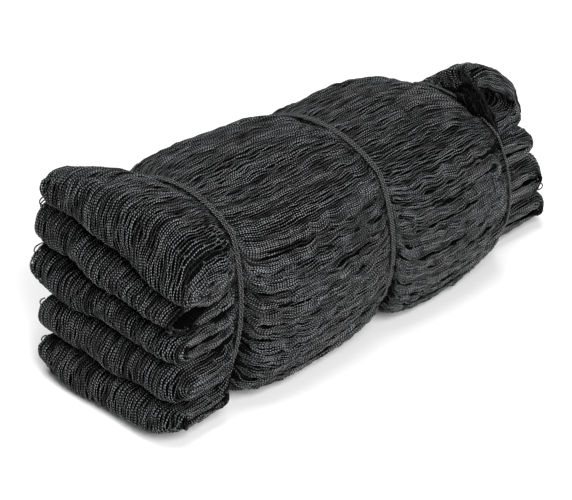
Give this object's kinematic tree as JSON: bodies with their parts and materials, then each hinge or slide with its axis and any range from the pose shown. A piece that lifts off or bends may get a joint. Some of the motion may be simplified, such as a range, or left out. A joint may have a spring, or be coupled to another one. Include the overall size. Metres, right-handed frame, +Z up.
{
  "type": "bundle of folded safety netting",
  "caption": "Black knotted safety netting folded back and forth into a long bundle, pulled in by twine ties, lying on a flat resting face.",
  "frame": {"origin": "on the surface that the bundle lies on, under the middle of its outer box", "axes": "+X along the bundle from the end with five folds to the end with four folds, +Z up"},
  "size_m": [0.6179, 0.2689, 0.2475],
  "materials": {
    "netting": "black twisted netting twine with a dull sheen",
    "tie_twine": "black twisted twine, a little glossier than the netting"
  },
  "bodies": {
    "root": {"netting": "netting", "tie_low_outer": "tie_twine", "tie_low_inner": "tie_twine", "tie_middle_outer": "tie_twine", "tie_middle_inner": "tie_twine", "tie_high": "tie_twine"}
  },
  "joints": []
}
